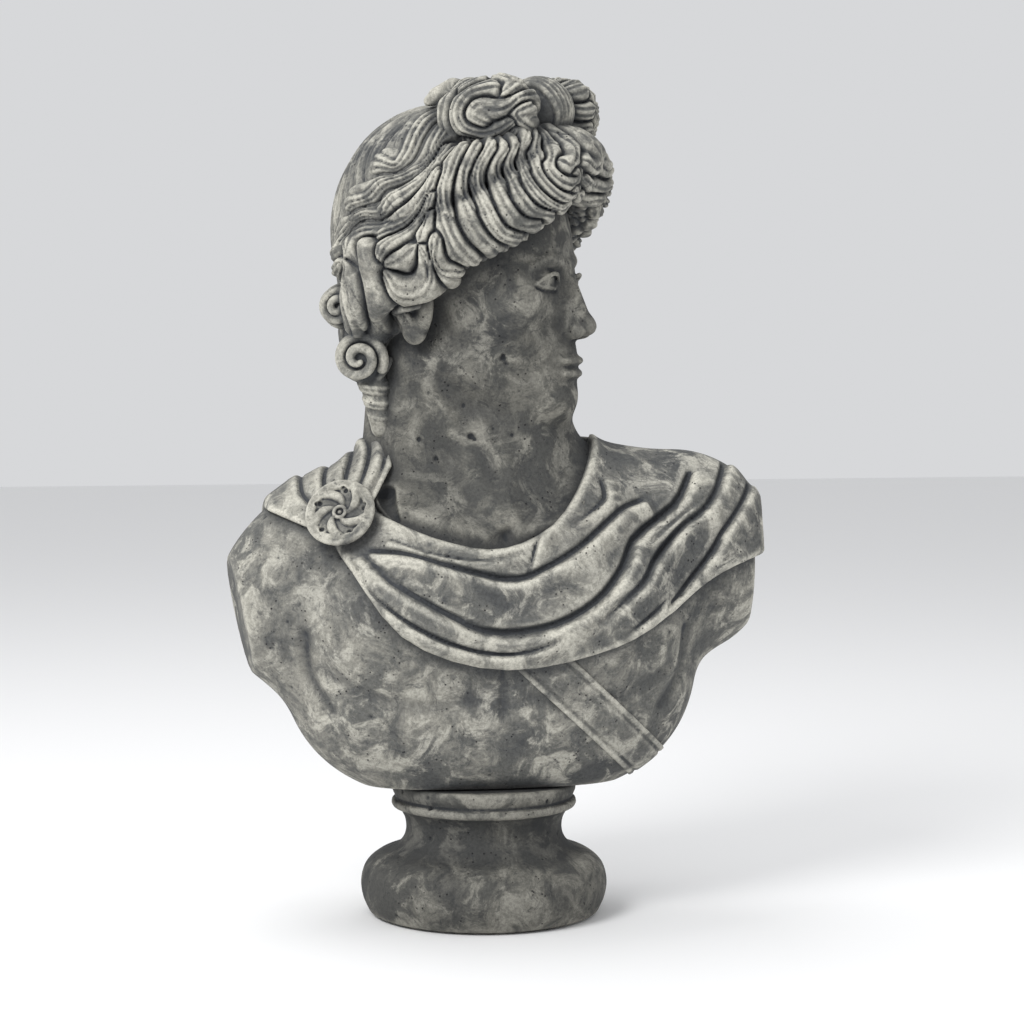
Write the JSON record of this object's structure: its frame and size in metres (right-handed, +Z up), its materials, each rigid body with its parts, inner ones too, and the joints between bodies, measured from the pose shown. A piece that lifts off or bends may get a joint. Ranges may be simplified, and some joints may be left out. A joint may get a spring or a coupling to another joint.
{
  "type": "marble bust",
  "caption": "Classical draped youth's bust with turned head, whirl brooch and topknot, on a turned socle; the bust turns on a hidden dowel and rests by the socle's flat foot",
  "frame": {"origin": "centre of the socle's underside, on the axis of the dowel that carries the bust", "axes": "+Z up along the dowel, the chest faces -Y, the figure's left side is +X"},
  "size_m": [0.4496, 0.2359, 0.694],
  "materials": {
    "marble": "matt, weathered, dark patina in the hollows",
    "steel": "brushed",
    "brass": "dull",
    "lead": "dull grey"
  },
  "bodies": {
    "foot": {"socle": "marble", "dowel_setting": "lead", "dowel": "steel", "bedding_washer": "lead"},
    "bust": {"torso": "marble", "head": "marble", "baldric": "marble", "cloak_front": "marble", "cloak_right_shoulder": "marble", "cloak_back": "marble", "brooch_disc": "marble", "brooch_rosette": "marble", "hair_cap": "marble", "hair_side_right": "marble", "hair_side_left": "marble", "hair_front_right": "marble", "hair_front_left": "marble", "nape_curls_right": "marble", "nape_curls_left": "marble", "topknot_band": "marble", "topknot_right": "marble", "topknot_left": "marble", "neck_dowel": "steel", "dowel_bush": "brass", "brooch_pin": "brass", "topknot_pin": "brass"}
  },
  "joints": [
    {"name": "bust_turn", "type": "hinge", "parent": "foot", "child": "bust", "pos_m": [0, 0, 0.111], "axis": [0, 0, 1], "continuous": true}
  ]
}
